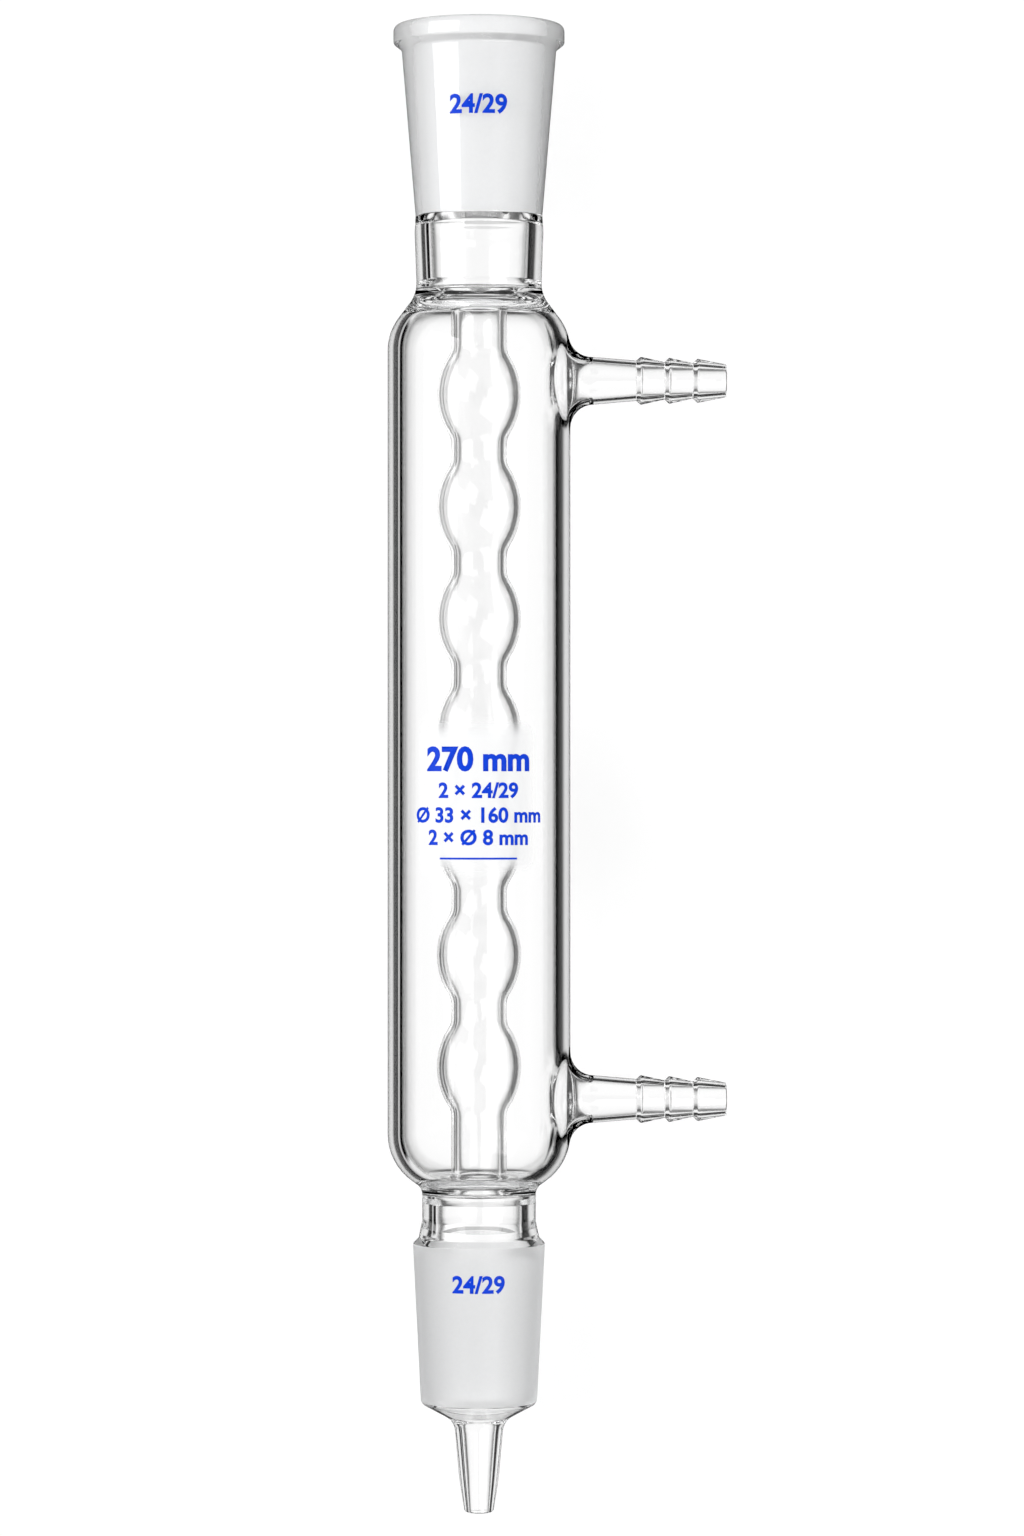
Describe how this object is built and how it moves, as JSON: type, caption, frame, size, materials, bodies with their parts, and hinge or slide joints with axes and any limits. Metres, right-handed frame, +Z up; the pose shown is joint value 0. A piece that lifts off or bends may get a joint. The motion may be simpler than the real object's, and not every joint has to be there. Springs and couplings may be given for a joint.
{
  "type": "bulb column condenser",
  "caption": "Jacketed glass column condenser with a chain of bulbs inside, ground tapered socket and cone ends, a drip tip and ridged hose nozzles on one side.",
  "frame": {"origin": "on the bench, under the middle of the condenser as it lies: midway between the socket's rim and the drip tip, and midway between the jacket's far side and the nozzles' open ends", "axes": "+Y along the condenser's own axis from the drip tip towards the socket, +X towards the side that the hose nozzles point to, +Z up from the bench"},
  "size_m": [0.0602, 0.2704, 0.0332],
  "materials": {
    "clear_glass": "clear, fire polished",
    "blue_print": "blue enamel fired onto the glass"
  },
  "bodies": {
    "root": {"condenser_glass": "clear_glass"}
  },
  "joints": []
}
